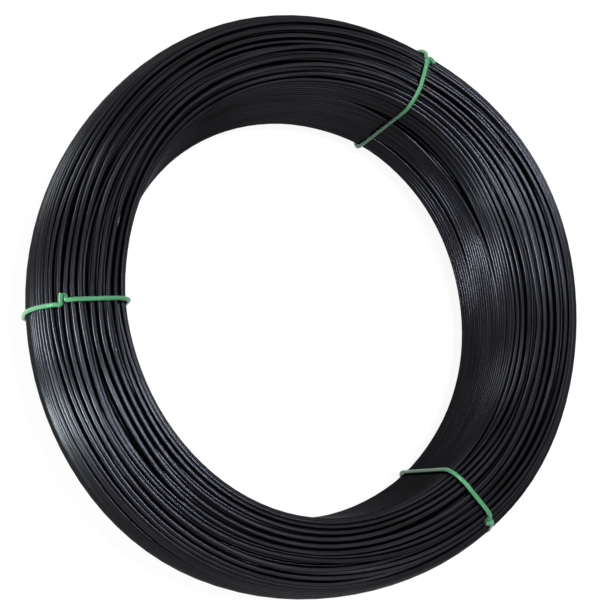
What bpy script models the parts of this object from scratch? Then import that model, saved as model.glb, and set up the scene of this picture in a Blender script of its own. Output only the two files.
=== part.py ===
"""Coil of binding wire: some 330 m of near-black steel wire wound flat into a ring,
held by three green plastic-coated tie wires that are twisted shut near its outer edge.
The coil was wound round and has been drawn a little oval in handling.

Metres, +Z up along the coil's axis. The origin is on that axis, at floor level.
Seen from above, the first tie lies to the upper right, +X being right and +Y up.
"""

import math

import bpy
from mathutils import Matrix, Vector

# The wound bundle: flat where it lay on the former, crowned at its outside
BORE_DIAMETER = 0.200
BUILD_WIDTH = 0.040
COIL_DEPTH = 0.080
BORE_CORNER_RADIUS = 0.011
END_FLAT_WIDTH = 0.010
CROWN_FLAT_DEPTH = 0.010

# How far the bore and the outside stand off their circles since the coil was drawn oval
BORE_OVALNESS = 0.0048
OUTSIDE_OVALNESS = 0.0028
LONG_AXIS_ANGLE = math.radians(91)

# The wire and how close its turns lie
WIRE_DIAMETER = 0.0024
TURN_CLEARANCE = 0.0002
CREST_WIDTH = 0.0011
GROOVE_DEPTH = 0.0012

# The ties and their twists
TIE_DIAMETER = 0.0020
TIE_BEND_RADIUS = 0.0015
TWIST_PITCH = 0.0062
TWIST_TURNS = 0.5
TWIST_PLACE = 0.038
TWIST_REACH = 0.0045
FIRST_TIE_ANGLE = math.radians(66.5)
TIE_NAMES = ("tie_upper_right", "tie_left", "tie_lower_right")

# Clearances of pieces that touch
SEAT_GAP = 0.0003
STRAND_GAP = 0.0003

# Fineness of the round shapes
COIL_STEPS = 33
TIE_CORNER_STEPS = (12, 6, 6, 12)
OUTLINE_STEPS = 60
BEND_STEPS = 3
TWIST_STEPS = 16

# Worked out from the sizes above
TURN_SPACING = WIRE_DIAMETER + TURN_CLEARANCE
MEAN_RADIUS = (BORE_DIAMETER + BUILD_WIDTH) / 2
CROWN_WIDTH = BUILD_WIDTH - BORE_CORNER_RADIUS - END_FLAT_WIDTH
CROWN_DEPTH = (COIL_DEPTH - CROWN_FLAT_DEPTH) / 2
MID_HEIGHT = TIE_DIAMETER + SEAT_GAP + COIL_DEPTH / 2
TIE_OFFSET = SEAT_GAP + TIE_DIAMETER / 2


def clear_scene():
    """Removes whatever objects the file holds."""
    for item in list(bpy.data.objects):
        bpy.data.objects.remove(item, do_unlink=True)


def make_material(name, colour, roughness, metallic):
    """A plain Principled material."""
    material = bpy.data.materials.new(name)
    material.use_nodes = True
    shader = material.node_tree.nodes["Principled BSDF"]
    shader.inputs["Base Color"].default_value = (*colour, 1.0)
    shader.inputs["Roughness"].default_value = roughness
    shader.inputs["Metallic"].default_value = metallic
    return material


def section_corners():
    """Centre, half width and half depth of the section's rounded corners, from the outer top one round."""
    crown_centre = BUILD_WIDTH / 2 - CROWN_WIDTH
    crown_level = COIL_DEPTH / 2 - CROWN_DEPTH
    bore_centre = BORE_CORNER_RADIUS - BUILD_WIDTH / 2
    bore_level = COIL_DEPTH / 2 - BORE_CORNER_RADIUS
    return (
        (crown_centre, crown_level, CROWN_WIDTH, CROWN_DEPTH),
        (bore_centre, bore_level, BORE_CORNER_RADIUS, BORE_CORNER_RADIUS),
        (bore_centre, -bore_level, BORE_CORNER_RADIUS, BORE_CORNER_RADIUS),
        (crown_centre, -crown_level, CROWN_WIDTH, CROWN_DEPTH),
    )


def section_outline(steps):
    """Points and outward normals once round the section, with this many steps for each corner."""
    outline = []
    for corner, (across, level, half_width, half_depth) in enumerate(section_corners()):
        for step in range(steps[corner] + 1):
            angle = (corner + step / steps[corner]) * math.pi / 2
            bend = Vector((half_width * math.cos(angle), 0, half_depth * math.sin(angle)))
            normal = Vector((math.cos(angle) / half_width, 0, math.sin(angle) / half_depth)).normalized()
            outline.append((Vector((MEAN_RADIUS + across, 0, level)) + bend, normal))
    return outline


def outline_length(outline):
    """The way once round an outline."""
    return sum((outline[i][0] - outline[i - 1][0]).length for i in range(len(outline)))


def find_place(outline, distance):
    """The place this far along an outline, the normal there and the index of the next point."""
    for index, (point, normal) in enumerate(outline):
        next_point, next_normal = outline[(index + 1) % len(outline)]
        step = (next_point - point).length
        if distance <= step:
            share = distance / step if step else 0
            return point.lerp(next_point, share), normal.lerp(next_normal, share).normalized(), index + 1
        distance -= step
    return outline[0][0], outline[0][1], 1


def flat_span(outline, facing):
    """Where along the outline the flat that faces this way begins and ends."""
    distance = 0
    for index in range(1, len(outline)):
        point, normal = outline[index]
        last_point, last_normal = outline[index - 1]
        step = (point - last_point).length
        if min(normal.dot(facing), last_normal.dot(facing)) > 0.9999:
            return distance, distance + step
        distance += step
    raise ValueError("the outline has no such flat")


def turned_profile():
    """The section's closed outline, with one ridge for each turn that shows outside the smooth bore wall."""
    outline = section_outline((OUTLINE_STEPS,) * 4)
    length = outline_length(outline)
    turns = round(length / TURN_SPACING)
    spacing = length / turns
    wall_start, wall_end = flat_span(outline, Vector((-1, 0, 0)))
    marks = [(wall_start, 0), (wall_end, 0)]
    first_crest = sum(flat_span(outline, Vector((0, 0, -1)))) / 2
    for turn in range(turns):
        crest = (first_crest + turn * spacing) % length
        groove = (crest + spacing / 2) % length
        if not wall_start - spacing / 2 < crest < wall_end + spacing / 2:
            marks.append((crest - CREST_WIDTH / 2, 0))
            marks.append((crest + CREST_WIDTH / 2, 0))
        if not wall_start - spacing / 2 < groove < wall_end + spacing / 2:
            marks.append((groove, GROOVE_DEPTH))
    points = []
    for distance, depth in sorted(marks):
        place, normal, _ = find_place(outline, distance % length)
        points.append(place - normal * depth)
    return points


def drawn_oval(point):
    """Where a point of the round coil lies once the coil has been drawn oval."""
    radius = math.hypot(point.x, point.y)
    angle = math.atan2(point.y, point.x)
    outward = (radius - BORE_DIAMETER / 2) / BUILD_WIDTH
    ovalness = BORE_OVALNESS + (OUTSIDE_OVALNESS - BORE_OVALNESS) * outward
    stretch = 1 + ovalness * math.cos(2 * (angle - LONG_AXIS_ANGLE)) / radius
    return Vector((point.x * stretch, point.y * stretch, point.z))


def make_coil(collection, parent, material):
    """The wound wire as one ring, turned with a ridge for each turn that shows, then drawn oval."""
    points = list(reversed(turned_profile()))
    edges = [(i, (i + 1) % len(points)) for i in range(len(points))]
    mesh = bpy.data.meshes.new("wire_coil")
    mesh.from_pydata(points, edges, [])
    mesh.materials.append(material)
    coil = bpy.data.objects.new("wire_coil", mesh)
    collection.objects.link(coil)
    coil.parent = parent
    screw = coil.modifiers.new("turn", "SCREW")
    screw.axis = "Z"
    screw.angle = 2 * math.pi
    screw.steps = COIL_STEPS
    screw.render_steps = COIL_STEPS
    screw.use_merge_vertices = True
    screw.merge_threshold = 0.00001
    screw.use_smooth_shade = True
    graph = bpy.context.evaluated_depsgraph_get()
    turned = bpy.data.meshes.new_from_object(coil.evaluated_get(graph))
    turned.transform(Matrix.Rotation(FIRST_TIE_ANGLE, 4, "Z"))
    for vertex in turned.vertices:
        vertex.co = drawn_oval(vertex.co)
    coil.modifiers.clear()
    coil.data = turned
    return coil


def strand(root, out, heading):
    """One end of a tie, from its loop: the bend towards the twist and its half of the twist."""
    reach = (TIE_DIAMETER + STRAND_GAP) / 2
    along = Vector((0, -1, 0))
    points = []
    for step in range(BEND_STEPS):
        angle = step / BEND_STEPS * math.pi / 2
        side = reach + TIE_BEND_RADIUS * (1 - math.sin(angle))
        rise = TIE_BEND_RADIUS * (1 - math.cos(angle))
        points.append(root + heading * side + along * rise)
    across = out.cross(along)
    turned = 1 if heading.dot(across) > 0 else -1
    steps = max(2, round(TWIST_STEPS * TWIST_TURNS))
    for step in range(steps + 1):
        angle = step / steps * TWIST_TURNS * 2 * math.pi
        side = across * math.cos(angle) + out * math.sin(angle)
        rise = TIE_BEND_RADIUS + step / steps * TWIST_TURNS * TWIST_PITCH
        points.append(root + side * turned * reach + along * rise)
    return points


def tie_path():
    """The centre line of a whole tie, from one cut end round the section to the other."""
    outline = section_outline(TIE_CORNER_STEPS)
    outline = [(point + normal * TIE_OFFSET, normal) for point, normal in outline]
    place, out, after = find_place(outline, TWIST_PLACE)
    loop = [point for point, _ in outline[after:] + outline[:after]]
    loop = [point for point in loop if (point - place).length > TWIST_REACH]
    heading = Vector((0, 1, 0)).cross(out) * -1
    root = place + out * (TIE_DIAMETER + STRAND_GAP) / 2
    first_end = strand(root, out, heading)
    last_end = strand(root, out, heading * -1)
    return first_end[::-1] + loop + last_end


def make_tie(collection, parent, material, name, angle):
    """A tie wire: a loop drawn tight round the bundle, its two ends twisted together and cut short."""
    turn = Matrix.Rotation(angle, 3, "Z")
    points = [drawn_oval(turn @ point) for point in tie_path()]
    curve = bpy.data.curves.new(name, "CURVE")
    curve.dimensions = "3D"
    curve.bevel_depth = TIE_DIAMETER / 2
    curve.bevel_resolution = 2
    curve.use_fill_caps = True
    curve.twist_mode = "MINIMUM"
    line = curve.splines.new("POLY")
    line.points.add(len(points) - 1)
    for spot, point in zip(line.points, points):
        spot.co = (*point, 1)
    curve.materials.append(material)
    tie = bpy.data.objects.new(name, curve)
    collection.objects.link(tie)
    tie.parent = parent
    return tie


def build():
    clear_scene()
    collection = bpy.data.collections.new("binding_wire_coil")
    bpy.context.scene.collection.children.link(collection)
    axis = bpy.data.objects.new("coil_axis", None)
    collection.objects.link(axis)
    axis.location.z = MID_HEIGHT
    dark_wire = make_material("dark_wire", (0.028, 0.029, 0.030), 0.38, 0.4)
    green_coating = make_material("green_coating", (0.10, 0.42, 0.17), 0.35, 0.0)
    make_coil(collection, axis, dark_wire)
    for index, name in enumerate(TIE_NAMES):
        angle = FIRST_TIE_ANGLE + index * 2 * math.pi / len(TIE_NAMES)
        make_tie(collection, axis, green_coating, name, angle)


build()
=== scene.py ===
import math

import bpy
import numpy as np
from mathutils import Matrix, Vector


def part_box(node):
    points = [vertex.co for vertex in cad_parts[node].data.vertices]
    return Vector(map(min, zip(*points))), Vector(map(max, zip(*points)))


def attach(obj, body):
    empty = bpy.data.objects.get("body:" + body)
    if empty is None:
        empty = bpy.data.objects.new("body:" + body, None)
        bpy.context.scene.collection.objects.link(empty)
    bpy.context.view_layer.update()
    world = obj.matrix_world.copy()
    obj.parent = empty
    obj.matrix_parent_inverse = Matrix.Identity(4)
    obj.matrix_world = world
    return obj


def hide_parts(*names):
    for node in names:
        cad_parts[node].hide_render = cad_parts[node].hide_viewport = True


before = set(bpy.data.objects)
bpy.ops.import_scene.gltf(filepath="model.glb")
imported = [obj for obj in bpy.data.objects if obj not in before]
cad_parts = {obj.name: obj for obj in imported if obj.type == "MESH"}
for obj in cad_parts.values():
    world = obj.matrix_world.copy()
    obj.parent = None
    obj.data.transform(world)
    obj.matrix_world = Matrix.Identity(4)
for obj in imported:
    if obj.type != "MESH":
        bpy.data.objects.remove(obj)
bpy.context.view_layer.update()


# The bundle that the wire is wound into: a ring, flat where it lay on the former and crowned at its
# outside. It was drawn a little oval when it came off the former, and its three ties pinch it.
# Its depth and height come from the frame, and its radii, corners and ovalness are its own.
coil_low, coil_high = (Vector(corner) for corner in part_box("wire_coil"))
BORE_RADIUS = 0.100
OUTSIDE_RADIUS = 0.140
COIL_DEPTH = coil_high.z - coil_low.z
# How far the loose turns have sunk on the ties under them
SETTLED = 0.0005
MID_HEIGHT = (coil_high.z + coil_low.z) / 2 - SETTLED
BUILD_WIDTH = OUTSIDE_RADIUS - BORE_RADIUS
MEAN_RADIUS = (OUTSIDE_RADIUS + BORE_RADIUS) / 2
BORE_CORNER = 0.011
END_FLAT_WIDTH = 0.010
CROWN_FLAT_DEPTH = 0.010
CORNER_STEPS = 48
TIE_ANGLES = {
    "upper_right": math.radians(67.1),
    "left": math.radians(186.7),
    "lower_right": math.radians(305.7),
}
# The share by which a tie squeezes the section, and how far round the ring that reaches
PINCH = 0.015
PINCH_SPREAD = math.radians(10)
# How far the bore and the outside bulge: lobes round the ring, height, direction of one lobe
BORE_LOBES = (
    (0, -0.00040, 0.0), (1, 0.00040, math.radians(-20)),
    (2, 0.00484, math.radians(93.5)), (3, 0.00040, math.radians(33.1)),
    (4, 0.00017, math.radians(-21.6)), (5, 0.00029, math.radians(-17.8)),
)
OUTSIDE_LOBES = (
    (0, 0.00020, 0.0),
    (2, 0.00283, math.radians(88.5)), (3, 0.00052, math.radians(-8.4)),
    (4, 0.00038, math.radians(40.9)), (5, 0.00073, math.radians(29.4)),
)
# How far the ends swell and sink, in how many waves round the ring, and how those slant, in
# radians for each metre outward
FACE_SWELL = 0.0005
SWELL_WAVES = 3
SWELL_SLANT = 90


def section_outline():
    """Across, up and the facing angle of points once round the section, from the crown's top corner."""
    crown_width = BUILD_WIDTH - BORE_CORNER - END_FLAT_WIDTH
    crown_depth = (COIL_DEPTH - CROWN_FLAT_DEPTH) / 2
    corners = (
        (BUILD_WIDTH / 2 - crown_width, COIL_DEPTH / 2 - crown_depth, crown_width, crown_depth),
        (BORE_CORNER - BUILD_WIDTH / 2, COIL_DEPTH / 2 - BORE_CORNER, BORE_CORNER, BORE_CORNER),
        (BORE_CORNER - BUILD_WIDTH / 2, BORE_CORNER - COIL_DEPTH / 2, BORE_CORNER, BORE_CORNER),
        (BUILD_WIDTH / 2 - crown_width, crown_depth - COIL_DEPTH / 2, crown_width, crown_depth),
    )
    across, up, facing = [], [], []
    for index, (centre_across, centre_up, half_width, half_depth) in enumerate(corners):
        bend = (index + np.linspace(0, 1, CORNER_STEPS)) * math.pi / 2
        across.append(centre_across + half_width * np.cos(bend))
        up.append(centre_up + half_depth * np.sin(bend))
        facing.append(np.arctan2(np.sin(bend) / half_depth, np.cos(bend) / half_width))
    return np.concatenate(across), np.concatenate(up), np.unwrap(np.concatenate(facing))


OUTLINE = section_outline()


def section_place(share, inset, sink=0.0):
    """Across, up and facing angle at a share of the way round the section, this far inside it."""
    facing = np.append(OUTLINE[2], OUTLINE[2][0] + 2 * math.pi)
    across = np.append(OUTLINE[0], OUTLINE[0][0]) - np.cos(facing) * inset
    up = np.append(OUTLINE[1], OUTLINE[1][0]) - np.sin(facing) * inset
    way = np.concatenate([[0.0], np.cumsum(np.hypot(np.diff(across), np.diff(up)))])
    distance = np.mod(share, 1.0) * way[-1]
    faces = np.interp(distance, way, facing)
    place_across = np.interp(distance, way, across) - np.cos(faces) * sink
    place_up = np.interp(distance, way, up) - np.sin(faces) * sink
    return place_across, place_up, faces


def lobes(angle, terms):
    """How far the bore or the outside stands off its circle in this direction."""
    return sum(height * np.cos(count * (angle - peak)) for count, height, peak in terms)


def pinch(angle):
    """The share by which the ties squeeze the section in this direction."""
    squeeze = np.zeros_like(angle)
    for tie_angle in TIE_ANGLES.values():
        off = np.arctan2(np.sin(angle - tie_angle), np.cos(angle - tie_angle))
        squeeze = squeeze + PINCH * np.exp(-(off / PINCH_SPREAD) ** 2)
    return squeeze


def ring_point(across, up, angle):
    """The point of the real, out-of-round bundle for a place in its section."""
    squeeze = 1 - pinch(angle)
    outward = (across + BUILD_WIDTH / 2) / BUILD_WIDTH
    bulge = (1 - outward) * lobes(angle, BORE_LOBES) + outward * lobes(angle, OUTSIDE_LOBES)
    radius = MEAN_RADIUS + across * squeeze + bulge
    swell = FACE_SWELL * np.sin(SWELL_WAVES * angle + across * SWELL_SLANT) * (up / (COIL_DEPTH / 2))
    height = MID_HEIGHT + up * squeeze + swell
    return np.stack([radius * np.cos(angle), radius * np.sin(angle), height], axis=-1)


# The wire: one length of drawn, annealed steel wire, wound turn beside turn. On the bore wall and
# the crown its turns lie tight. On both ends they wander, part into long narrow gaps, slip under
# their neighbours or stand proud of them, and two layers below show through the gaps.
WIRE_RADIUS = 0.0012
STEPS_A_TURN = 100
# A layer nests in the grooves of the one below, so its pitch is less than the wire's thickness
LAYER_PITCH = 0.0021
# The wandering changes this many times in one turn
WANDER_KNOTS = 5
# The ends' middles and half width, as shares of the way round the section
ENDS = (0.245, 0.720)
END_REACH = 0.095
# How much wider than one pitch the turns lie: an even slack on the ends, gaps that come and go
# there, and a few stray gaps anywhere, which the high power leaves of the same wandering
END_SLACK = 0.03
END_WANDER = 0.24
END_POWER = 2
STRAY_WANDER = 0.30
STRAY_POWER = 12
# A gap that opens takes its room evenly from the four gaps on either side of it
SPREAD = (-4, -3, -2, -1, 1, 2, 3, 4)
# The turns drift to and fro by this share once round the ring, each layer turned by so many radians
DRIFT = 0.010
DRIFT_START = 0.9
DRIFT_LAYER = 2.1
# How much lower than its neighbours a turn on the ends may lie
SAG = 0.00030
# How far a turn stays under its neighbours on either side of one spot, and its way down, in turns
SLIP_REACH = (0.03, 0.25)
SLIP_RAMP = 0.14
# From the outside in: the turns of each layer, the corners of its wire, and how often it slips
LAYERS = (
    {"name": "outer_turns", "turns": 75, "sides": 10, "slips": 18},
    {"name": "second_turns", "turns": 70, "sides": 8, "slips": 0},
    {"name": "third_turns", "turns": 64, "sides": 6, "slips": 0},
)
# Where two turns part: direction, share of the way round the section, half length and extra width,
# in degrees, shares, degrees and pitches
PARTINGS = (
    (114, 0.220, 26, 1.0), (215, 0.224, 22, 0.9), (262, 0.200, 26, 0.7),
    (353, 0.267, 20, 0.6), (233, 0.095, 24, 0.7), (157, 0.130, 28, 0.6),
    (180, 0.143, 24, 0.6), (178, 0.219, 22, 0.7), (170, 0.158, 16, 0.5),
    (214, 0.082, 34, 0.6), (214, 0.125, 34, 0.6), (355, 0.357, 26, 0.4),
    (340, 0.500, 34, 0.4), (146, 0.210, 26, 0.7), (135, 0.298, 30, 0.6),
    (152, 0.308, 20, 0.6), (135, 0.160, 32, 0.5), (270, 0.160, 26, 0.5),
    (300, 0.245, 28, 0.5), (30, 0.270, 30, 0.4), (57, 0.330, 34, 0.7),
    (57, 0.357, 34, 0.7), (57, 0.383, 34, 0.8), (58, 0.408, 30, 2.6),
)
# Where a turn stands proud of its neighbours: direction, share, half length, and how far in metres
PROUD_TURNS = (
    (42, 0.5670, 42, 0.0010),
    (40, 0.4155, 44, 0.0022),
    (58, 0.5600, 20, 0.0005),
)
# Where turns lie lower: direction, share, half length, half width in shares, depth, first layer
HOLLOWS = (
    (42, 0.498, 27, 0.055, 0.0016, 0),
    (60, 0.408, 22, 0.016, 0.0040, 1),
)
WINDING_SEED = 11
rng = np.random.default_rng(WINDING_SEED)


def smooth_noise(place, turns, knots):
    """Smooth noise between -1 and 1 along the wire, with this many knots a turn."""
    values = rng.uniform(-1, 1, int(turns * knots))
    spot = place * knots
    before = np.floor(spot).astype(int)
    part = spot - before
    part = part * part * (3 - 2 * part)
    return values[before % len(values)] * (1 - part) + values[(before + 1) % len(values)] * part


def nearness(place, turns, centre, half_length):
    """One at a place along the wire, falling smoothly to nothing this many turns before and after it."""
    off = np.abs(np.mod(place - centre + turns / 2, turns) - turns / 2)
    return np.where(off < half_length, np.cos(np.minimum(off / half_length, 1) * math.pi / 2) ** 2, 0.0)


def turn_at(share, direction, turns):
    """How many turns along the wire the one lies that crosses this direction near this share."""
    return round(share * turns - direction / 360) + direction / 360


def on_end(share):
    """One on the loosely wound ends of the coil, falling to nothing on its crown and bore wall."""
    return sum(np.exp(-((np.mod(share, 1.0) - middle) / END_REACH) ** 4) for middle in ENDS)


def slip_under(place, turns, slips):
    """One where a turn lies in the layer, falling to nothing where it has slipped under the others."""
    shown = np.ones_like(place)
    for slip in range(slips):
        share = ENDS[slip % len(ENDS)] + rng.uniform(-END_REACH, END_REACH)
        start = round(share * turns) + rng.uniform(0, 1)
        reach = rng.uniform(*SLIP_REACH)
        off = np.mod(place - start + turns / 2, turns) - turns / 2
        edge = np.clip((np.abs(off) - reach) / SLIP_RAMP, 0, 1)
        shown = np.minimum(shown, edge * edge * (3 - 2 * edge))
    return shown


def layer_path(layer, depth):
    """Centre line of one layer, as turns by steps by three coordinates."""
    turns = layer["turns"]
    steps = np.arange(STEPS_A_TURN)[None, :] / STEPS_A_TURN
    place = np.arange(turns)[:, None] + steps
    angle = 2 * math.pi * np.mod(place, 1.0)
    shown = slip_under(place, turns, layer["slips"])
    next_shown = np.roll(shown, -1, axis=0)
    loose = on_end(place / turns)
    wander = 0.5 + 0.5 * smooth_noise(place, turns, WANDER_KNOTS)
    gap = (1 + loose * (END_SLACK + END_WANDER * wander ** END_POWER)
           + STRAY_WANDER * wander ** STRAY_POWER)
    change = gap * ((1 + shown) / 2 * (1 + next_shown) / 2 - 1)
    if depth == 0:
        for direction, spot, half_length, width in PARTINGS:
            centre = turn_at(spot, direction, turns)
            change = change + width * nearness(place, turns, centre, half_length / 360)
    gap = gap + change - sum(np.roll(change, turn, axis=0) for turn in SPREAD) / len(SPREAD)
    before = np.cumsum(gap, axis=0) - gap
    total = gap.sum(axis=0, keepdims=True)
    drift = DRIFT * np.sin(angle - DRIFT_START + DRIFT_LAYER * depth)
    share = (before + steps * gap[:1, :1]) / total + drift
    sink = 2 * WIRE_RADIUS * np.sqrt(np.clip(1 - ((1 + shown) / 2) ** 2, 0, 1))
    sink = sink + SAG * loose * (0.5 + 0.5 * smooth_noise(place, turns, WANDER_KNOTS))
    if depth == 0:
        for direction, spot, half_length, height in PROUD_TURNS:
            centre = turn_at(spot, direction, turns)
            sink = sink - height * nearness(place, turns, centre, half_length / 360)
    for direction, middle, half_length, half_width, height, first_layer in HOLLOWS:
        off = (np.degrees(angle) - direction + 180) % 360 - 180
        lower = height * np.exp(-(off / half_length) ** 4 - ((share - middle) / half_width) ** 4)
        sink = sink + lower * (depth >= first_layer)
    across, up, _ = section_place(share, WIRE_RADIUS + depth * LAYER_PITCH, sink)
    return ring_point(across, up, angle)


def wire_mesh(name, path, radius, sides):
    """A round wire swept along a closed path, as an object of the scene."""
    count = len(path)
    ahead = np.roll(path, -1, axis=0) - np.roll(path, 1, axis=0)
    ahead /= np.linalg.norm(ahead, axis=1, keepdims=True)
    side = np.cross(ahead, np.array([0.0, 0.0, 1.0]))
    side /= np.linalg.norm(side, axis=1, keepdims=True)
    rise = np.cross(side, ahead)
    turn = 2 * math.pi * np.arange(sides) / sides
    ring = np.cos(turn)[None, :, None] * side[:, None, :]
    ring = ring + np.sin(turn)[None, :, None] * rise[:, None, :]
    points = (path[:, None, :] + radius * ring).reshape(-1, 3)
    rows = np.arange(count)[:, None]
    next_rows = (rows + 1) % count
    near = np.arange(sides)[None, :]
    far = (near + 1) % sides
    faces = np.stack(
        [rows * sides + near, rows * sides + far, next_rows * sides + far, next_rows * sides + near], -1)
    mesh = bpy.data.meshes.new(name)
    mesh.from_pydata(points.tolist(), [], faces.reshape(-1, 4).tolist())
    mesh.shade_smooth()
    piece = bpy.data.objects.new(name, mesh)
    bpy.context.scene.collection.objects.link(piece)
    return piece


def linear(hex_colour):
    """An sRGB hex colour as linear red, green, blue and alpha."""
    parts = [int(hex_colour[i:i + 2], 16) / 255 for i in (1, 3, 5)]
    return [p / 12.92 if p <= 0.04045 else ((p + 0.055) / 1.055) ** 2.4 for p in parts] + [1.0]


def add_node(tree, kind, values=None, links=None, **settings):
    """Adds a node with its settings, input values and links from other nodes' outputs."""
    node = tree.nodes.new(kind)
    for key, value in settings.items():
        setattr(node, key, value)
    for key, value in (values or {}).items():
        node.inputs[key].default_value = value
    for key, (source, output) in (links or {}).items():
        tree.links.new(source.outputs[output], node.inputs[key])
    return node


# Black annealed wire: drawn through a die, then softened in a furnace that leaves a tight dark
# oxide skin. To the eye it is near-black and satin, a touch uneven in tone and gloss from turn to
# turn, with a few pale spots of painted highlight in its colour.
SKIN_TONES = ("#18181a", "#28282b")
SKIN_ROUGHNESS = (0.20, 0.26)
# The skin is thin and mirrors like the steel under it, only dimmer where it is seen on the slant
SKIN_METALLIC = 0.9
SKIN_EDGE = "#9c9c9e"
# The stretch of the noise over which tone and gloss go from the first value to the second
TONE_SPAN = (0.3, 0.7)
annealed_wire = bpy.data.materials.new("annealed_wire_oxide_skin")
annealed_wire.use_nodes = True
tree = annealed_wire.node_tree
tree.nodes.clear()
place = add_node(tree, "ShaderNodeTexCoord")
parts = add_node(tree, "ShaderNodeSeparateXYZ", links={0: (place, "Object")})
flat = add_node(tree, "ShaderNodeCombineXYZ", links={"X": (parts, "X"), "Y": (parts, "Y")})
out = add_node(tree, "ShaderNodeVectorMath", links={0: (flat, 0)}, operation="LENGTH")
heading = add_node(tree, "ShaderNodeVectorMath", links={0: (flat, 0)}, operation="NORMALIZE")
bearing = add_node(tree, "ShaderNodeSeparateXYZ", links={0: (heading, 0)})
# One patch of tone is about 4 mm across the turns and 60 mm along them
TURN_PATCH = 260.0
ALONG_PATCH = 2.0
along_x = add_node(tree, "ShaderNodeMath", {1: TURN_PATCH}, {0: (out, "Value")}, operation="MULTIPLY")
along_z = add_node(tree, "ShaderNodeMath", {1: TURN_PATCH}, {0: (parts, "Z")}, operation="MULTIPLY")
round_x = add_node(tree, "ShaderNodeMath", {1: ALONG_PATCH}, {0: (bearing, "X")}, operation="MULTIPLY")
round_y = add_node(tree, "ShaderNodeMath", {1: ALONG_PATCH}, {0: (bearing, "Y")}, operation="MULTIPLY")
wound = add_node(
    tree, "ShaderNodeCombineXYZ", links={"X": (along_x, 0), "Y": (along_z, 0), "Z": (round_x, 0)})
turn_tone = add_node(
    tree, "ShaderNodeTexNoise", {"Scale": 1.0, "Detail": 2.0},
    {"Vector": (wound, 0), "W": (round_y, 0)}, noise_dimensions="4D")
tone = add_node(tree, "ShaderNodeValToRGB", links={"Fac": (turn_tone, "Fac")})
for stop, position, colour in zip(tone.color_ramp.elements, TONE_SPAN, SKIN_TONES):
    stop.position = position
    stop.color = linear(colour)
gloss = add_node(
    tree, "ShaderNodeMapRange",
    {"From Min": TONE_SPAN[0], "From Max": TONE_SPAN[1],
     "To Min": SKIN_ROUGHNESS[0], "To Max": SKIN_ROUGHNESS[1]},
    {"Value": (turn_tone, "Fac")})
# Small pale spots of painted highlight in the skin's colour, standing for glints of light:
# direction in degrees, share and radius. The first six run together into one painted streak of light
# along a turn
PAINTED_GLINT_COLOUR = "#c4c6c2"
GLINT_SOFT_EDGE = 0.0003
PAINTED_GLINTS = (
    (164.9, 0.279, 0.0007), (165.6, 0.279, 0.0009), (166.3, 0.279, 0.0010), (167.0, 0.279, 0.0010),
    (167.7, 0.279, 0.0009), (168.4, 0.279, 0.0007), (199.0, 0.265, 0.0004), (64.5, 0.207, 0.0009),
    (63.6, 0.207, 0.0007),
)
glint_mask = None
for direction, share, radius in PAINTED_GLINTS:
    across, up, _ = section_place(np.array([share]), 0.0)
    spot = ring_point(across, up, np.array([math.radians(direction)]))[0]
    away = add_node(
        tree, "ShaderNodeVectorMath", {1: tuple(spot)}, {0: (place, "Object")}, operation="DISTANCE")
    glint_spot = add_node(
        tree, "ShaderNodeMapRange",
        {"From Min": radius, "From Max": radius - GLINT_SOFT_EDGE, "To Min": 0.0, "To Max": 1.0},
        {"Value": (away, "Value")})
    if glint_mask:
        glint_spot = add_node(
            tree, "ShaderNodeMath", links={0: (glint_mask, 0), 1: (glint_spot, 0)}, operation="MAXIMUM")
    glint_mask = glint_spot
# The pale spots of painted highlight are mixed into the skin's colour here
skin_colour_with_glints = add_node(
    tree, "ShaderNodeMix", {"B": linear(PAINTED_GLINT_COLOUR)}, {"Factor": (glint_mask, 0), "A": (tone, "Color")},
    data_type="RGBA")
skin = add_node(
    tree, "ShaderNodeBsdfPrincipled",
    {"Metallic": SKIN_METALLIC, "Specular Tint": linear(SKIN_EDGE)},
    {"Base Color": (skin_colour_with_glints, "Result"), "Roughness": (gloss, 0)})
add_node(tree, "ShaderNodeOutputMaterial", links={"Surface": (skin, 0)})

for depth, layer in enumerate(LAYERS):
    path = layer_path(layer, depth).reshape(-1, 3)
    piece = wire_mesh(layer["name"], path, WIRE_RADIUS, layer["sides"])
    piece.data.materials.append(annealed_wire)
    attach(piece, "root")
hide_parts("wire_coil")


# The inner turns of the same wire, wound before the layers that show. No side shows them, so they
# are one plain ring of the wire's material, just clear of the lowest layer.
CORE_CLEARANCE = 0.0004
CORE_INSET = len(LAYERS) * LAYER_PITCH + CORE_CLEARANCE
CORE_POINTS = 40
CORE_STEPS = 96
across, up, _ = section_place(np.arange(CORE_POINTS) / CORE_POINTS, CORE_INSET)
core_angle = np.repeat(2 * math.pi * np.arange(CORE_STEPS)[:, None] / CORE_STEPS, CORE_POINTS, axis=1)
core_points = ring_point(across[None, :], up[None, :], core_angle).reshape(-1, 3)
core_faces = []
for step in range(CORE_STEPS):
    for spot in range(CORE_POINTS):
        here = step * CORE_POINTS
        there = (step + 1) % CORE_STEPS * CORE_POINTS
        beside = (spot + 1) % CORE_POINTS
        core_faces.append((here + spot, there + spot, there + beside, here + beside))
core_mesh = bpy.data.meshes.new("inner_turns")
core_mesh.from_pydata(core_points.tolist(), [], core_faces)
core_mesh.shade_smooth()
core = bpy.data.objects.new("inner_turns", core_mesh)
bpy.context.scene.collection.objects.link(core)
core.data.materials.append(annealed_wire)
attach(core, "root")


# The ties: three lengths of soft steel wire in a green plastic coating, each drawn round the bundle
# by hand, its ends crossed, twisted up to half a turn and cut short beside the turns.
TIE_RADIUS = 0.0010
# How far a tie lies off the turns, its two ends off each other, and how sharply it bends to its twist
TIE_SEAT = 0.0001
STRAND_GAP = 0.00005
TIE_BEND = 0.0008
# The loop stops this far short of the bends on either side of the twist
TWIST_ROOM = 0.0030
# How far off the twist's place the tie's heading there is read
HEADING_STEP = 0.0005
LOOP_STEPS = 110
BEND_STEPS = 5
TWIST_STEPS = 24
ROUNDNESS = 4
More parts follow.
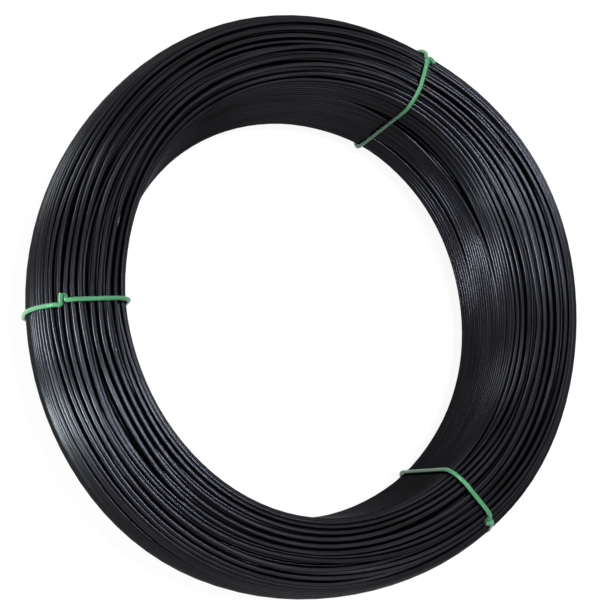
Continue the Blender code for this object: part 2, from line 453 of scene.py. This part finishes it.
# The share of the way round from the twist, over the upper end, down the bore wall, under the coil
# and up the crown, and how much of its bite and of its lean the tie has there
BITE_COURSE = ((0.0, 0.70, 0.80, 0.96, 1.0), (0.0, 0.0, 1.0, 1.0, 0.0))
LEAN_COURSE = ((0.0, 0.09, 0.50, 0.75, 1.0), (0.0, 0.0, 1.0, 0.4, 0.0))
# Each tie's direction, how it slants over the ends, how far its lower end leans round the bore,
# where its twist sits, how far one half is drawn past the other, how many turns it is twisted,
# how long its stub is, and how far its outer run bites in between the turns
TIES = (
    {"name": "tie_left", "angle": TIE_ANGLES["left"], "slant": math.radians(-0.2),
     "lean": math.radians(-2.8), "twist": 0.1795, "step": 0.0018, "twists": 0.20,
     "stub": 0.0022, "bite": 0.0003},
    {"name": "tie_upper_right", "angle": TIE_ANGLES["upper_right"], "slant": math.radians(1.0),
     "lean": math.radians(3.0), "twist": 0.172, "step": 0.0, "twists": 0.45,
     "stub": 0.0034, "bite": 0.0},
    {"name": "tie_lower_right", "angle": TIE_ANGLES["lower_right"], "slant": math.radians(1.1),
     "lean": math.radians(1.6), "twist": 0.160, "step": 0.0, "twists": 0.40,
     "stub": 0.0027, "bite": 0.0017},
)
# The coating: soft green vinyl, extruded over the wire, which leaves it smooth with a gentle gloss
tie_coating = bpy.data.materials.new("extruded_vinyl_coating")
tie_coating.use_nodes = True
shader = tie_coating.node_tree.nodes["Principled BSDF"]
shader.inputs["Base Color"].default_value = linear("#4f8a61")
shader.inputs["Roughness"].default_value = 0.30
shader.inputs["Specular IOR Level"].default_value = 0.32
shader.inputs["Specular Tint"].default_value = linear("#a9dcb8")


def tie_point(tie, share):
    """A point of a tie's centre line round the bundle."""
    share = np.asarray(share, float)
    past = np.mod(share - tie["twist"], 1.0)
    bite = tie["bite"] * np.interp(past, *BITE_COURSE)
    across, up, facing = section_place(share, -(TIE_RADIUS + TIE_SEAT), bite)
    lean = tie["lean"] * np.interp(past, *LEAN_COURSE)
    drawn = tie["step"] * (past - 0.5) / OUTSIDE_RADIUS
    angle = tie["angle"] + tie["slant"] * across / (BUILD_WIDTH / 2) + lean + drawn
    return ring_point(across, up, angle)


def tie_path(tie):
    """The whole tie, from one cut end round the bundle to the other."""
    girth = 2 * (BUILD_WIDTH + COIL_DEPTH)
    place = tie["twist"]
    step = HEADING_STEP / girth
    heading = tie_point(tie, place + 2 * step) - tie_point(tie, place + step)
    heading /= np.linalg.norm(heading)
    # The tie's two ends meet here a step apart, so the twist stands midway between them
    beside = step / 10
    here = (tie_point(tie, place + beside) + tie_point(tie, place - beside)) / 2
    along = np.array([math.sin(tie["angle"]), -math.cos(tie["angle"]), 0.0])
    out = np.cross(along, heading)
    reach = TIE_RADIUS + STRAND_GAP
    root = here + out * reach
    room = (reach + TIE_BEND + TWIST_ROOM) / girth
    shares = np.linspace(place + room, place + 1 - room, LOOP_STEPS)
    loop = tie_point(tie, shares)
    ends = []
    for sign in (1, -1):
        points = []
        start = root + along * sign * tie["step"] / 2
        for bend in np.linspace(0, math.pi / 2, BEND_STEPS + 1)[:-1]:
            side = reach + TIE_BEND * (1 - math.sin(bend))
            rise = TIE_BEND * (1 - math.cos(bend))
            points.append(start + heading * sign * side + along * rise)
        first = start + along * TIE_BEND
        last = root + along * (TIE_BEND + tie["step"] / 2 + tie["stub"])
        for part in np.linspace(0, 1, TWIST_STEPS):
            turn = part * tie["twists"] * 2 * math.pi
            side = (heading * math.cos(turn) + out * math.sin(turn)) * sign
            points.append(first * (1 - part) + last * part + side * reach)
        ends.append(np.array(points))
    return np.concatenate([ends[0][::-1], loop, ends[1]])


for tie in TIES:
    line = bpy.data.curves.new(tie["name"] + "_wire", "CURVE")
    line.dimensions = "3D"
    line.bevel_depth = TIE_RADIUS
    line.bevel_resolution = ROUNDNESS
    line.use_fill_caps = True
    spline = line.splines.new("POLY")
    path = tie_path(tie)
    spline.points.add(len(path) - 1)
    for spot, point in zip(spline.points, path):
        spot.co = (*point, 1)
    piece = bpy.data.objects.new(tie["name"] + "_wire", line)
    bpy.context.scene.collection.objects.link(piece)
    piece.data.materials.append(tie_coating)
    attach(piece, "root")
    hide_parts(tie["name"])


# The floor that the coil lies on, pale, matt and level. The camera and mirror-like surfaces see it
# all but white, with the coil's shadow kept, and the light that it throws back is a pale floor's.
FLOOR_HALF = 3.0
FLOOR_PALE = "#e6e6e6"
# What the camera sees is mostly glow, and the rest, which takes the shadow, is lit
FLOOR_GLOW = 0.93
FLOOR_LIT = "#626262"
floor_mesh = bpy.data.meshes.new("floor")
floor_mesh.from_pydata([(-FLOOR_HALF, -FLOOR_HALF, 0), (FLOOR_HALF, -FLOOR_HALF, 0),
                        (FLOOR_HALF, FLOOR_HALF, 0), (-FLOOR_HALF, FLOOR_HALF, 0)], [], [(0, 1, 2, 3)])
floor = bpy.data.objects.new("floor", floor_mesh)
bpy.context.scene.collection.objects.link(floor)
pale_floor = bpy.data.materials.new("matt_white_floor")
pale_floor.use_nodes = True
tree = pale_floor.node_tree
tree.nodes.clear()


def add_looked_at(tree):
    """Adds nodes that give one for what the camera sees, straight on, mirrored or through glass."""
    ray = add_node(tree, "ShaderNodeLightPath")
    mirrored = add_node(
        tree, "ShaderNodeMath", links={0: (ray, "Is Glossy Ray"), 1: (ray, "Is Transmission Ray")},
        operation="MAXIMUM")
    return add_node(
        tree, "ShaderNodeMath", links={0: (ray, "Is Camera Ray"), 1: (mirrored, 0)}, operation="MAXIMUM")


matt = add_node(tree, "ShaderNodeBsdfDiffuse", {"Color": linear(FLOOR_PALE)})
shaded = add_node(tree, "ShaderNodeBsdfDiffuse", {"Color": linear(FLOOR_LIT)})
glow = add_node(tree, "ShaderNodeEmission", {"Color": linear("#ffffff"), "Strength": FLOOR_GLOW})
bright = add_node(tree, "ShaderNodeAddShader", links={0: (shaded, 0), 1: (glow, 0)})
looked_at = add_looked_at(tree)
either = add_node(tree, "ShaderNodeMixShader", links={"Fac": (looked_at, 0), 1: (matt, 0), 2: (bright, 0)})
add_node(tree, "ShaderNodeOutputMaterial", links={"Surface": (either, 0)})
floor.data.materials.append(pale_floor)


# The studio round it: a plain white room, which the camera and mirror-like surfaces see as white.
# It lights the object only faintly, and the lamps do the rest.
WORLD_STRENGTH = 0.1
world = bpy.data.worlds.new("studio")
bpy.context.scene.world = world
world.use_nodes = True
tree = world.node_tree
tree.nodes.clear()
looked_at = add_looked_at(tree)
dim = add_node(tree, "ShaderNodeBackground", {"Color": linear("#ffffff"), "Strength": WORLD_STRENGTH})
white = add_node(tree, "ShaderNodeBackground", {"Color": linear("#ffffff"), "Strength": 1.0})
either = add_node(tree, "ShaderNodeMixShader", links={"Fac": (looked_at, 0), 1: (dim, 0), 2: (white, 0)})
add_node(tree, "ShaderNodeOutputWorld", links={"Surface": (either, 0)})


# The camera, nearly over the coil and a little to its lower left. Its place, lens and shift were
# worked out from the photograph's outlines of the ring.
COIL_CENTRE = Vector((0, 0, MID_HEIGHT))
CAMERA_TILT = math.radians(19.892)
CAMERA_BEARING = math.radians(215.133)
CAMERA_DISTANCE = 0.542
# The frame, the focal length and how far the lens is shifted, in pixels of the photograph
FRAME_WIDTH_PX = 600
FOCAL_PX = 1092
CENTRE_PX = (10.17, 2.17)
SENSOR_WIDTH = 36
back = Vector((math.sin(CAMERA_TILT) * math.cos(CAMERA_BEARING),
               math.sin(CAMERA_TILT) * math.sin(CAMERA_BEARING), math.cos(CAMERA_TILT)))
right = Vector((0, 1, 0)).cross(back).normalized()
upward = back.cross(right)
view = bpy.data.cameras.new("view")
view.sensor_width = SENSOR_WIDTH
view.lens = FOCAL_PX / FRAME_WIDTH_PX * view.sensor_width
view.shift_x = -CENTRE_PX[0] / FRAME_WIDTH_PX
view.shift_y = CENTRE_PX[1] / FRAME_WIDTH_PX
view.clip_start = 0.01
camera = bpy.data.objects.new("view", view)
bpy.context.scene.collection.objects.link(camera)
place = Matrix((right, upward, back)).transposed().to_4x4()
place.translation = COIL_CENTRE + back * CAMERA_DISTANCE
camera.matrix_world = place
bpy.context.scene.camera = camera


# The lamps: one overhead, one beyond the lens, three low at the left and one high at the right draw
# the bright bands across the turns, and two wide soft ones light the coil from behind and in front.
# Two of them are only seen mirrored in the wire and add no light, which keeps its level plain.
LAMPS = (
    # Name, size, watts, colour, place, only mirrored
    ("key_lamp", 0.18, 10.0, "#e9f1ff", (0.07, 0.00, 1.30), False),
    ("lens_lamp", 0.18, 8.0, "#e9f1ff", (-0.45, -0.19, 1.25), True),
    ("side_lamp", 0.20, 18.0, "#edf4fb", (-1.20, -0.05, 0.45), True),
    ("floor_lamp", 0.24, 25.0, "#e6f6f0", (-1.21, -0.49, 0.125), False),
    ("right_lamp", 0.22, 9.0, "#e6eef8", (0.84, 0.51, 0.90), False),
    ("left_lamp", 0.40, 10.0, "#f1fbf6", (-1.08, 0.74, 0.20), False),
    ("far_lamp", 1.20, 3.5, "#fff8f4", (0.00, 1.30, 0.90), False),
    ("near_lamp", 1.40, 4.5, "#fff8f4", (0.62, -1.17, 0.80), False),
)
for name, size, watts, colour, location, only_mirrored in LAMPS:
    light = bpy.data.lights.new(name, "AREA")
    light.shape = "DISK"
    light.size = size
    light.energy = watts
    light.color = linear(colour)[:3]
    lamp = bpy.data.objects.new(name, light)
    bpy.context.scene.collection.objects.link(lamp)
    lamp.location = location
    lamp.visible_diffuse = not only_mirrored
    lamp.rotation_euler = (lamp.location - COIL_CENTRE).to_track_quat("Z", "Y").to_euler()

bpy.context.scene.view_settings.view_transform = "Standard"
